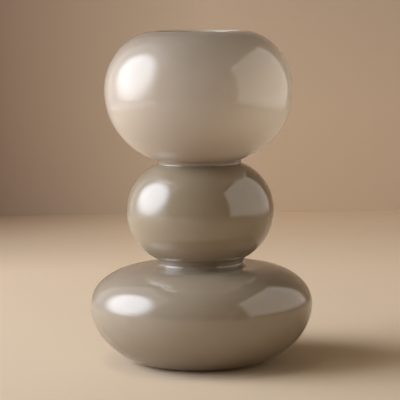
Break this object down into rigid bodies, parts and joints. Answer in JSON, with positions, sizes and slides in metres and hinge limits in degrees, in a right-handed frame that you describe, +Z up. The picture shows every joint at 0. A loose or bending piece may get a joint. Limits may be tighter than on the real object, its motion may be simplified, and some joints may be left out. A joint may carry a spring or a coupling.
{
  "type": "triple gourd vase",
  "caption": "Glossy cased glass vase of stacked flattened bulbs joined at narrow waists, with a wide round mouth and a flat foot, for holding flower stems.",
  "frame": {"origin": "centre of the foot, on the surface the vase stands on", "axes": "+Z up along the axis of the vase, towards the mouth; every direction around the axis is alike"},
  "size_m": [0.202, 0.202, 0.3001],
  "materials": {
    "casing_glass": "fire-polished taupe opal glass",
    "lining_glass": "smooth white opal glass",
    "ring_glass": "fire-polished taupe opal glass"
  },
  "bodies": {
    "root": {"lower_bulb_casing": "casing_glass", "lower_bulb_lining": "lining_glass", "lower_joining_ring": "ring_glass", "middle_bulb_casing": "casing_glass", "middle_bulb_lining": "lining_glass", "upper_joining_ring": "ring_glass", "upper_bulb_casing": "casing_glass", "upper_bulb_lining": "lining_glass"}
  },
  "joints": []
}
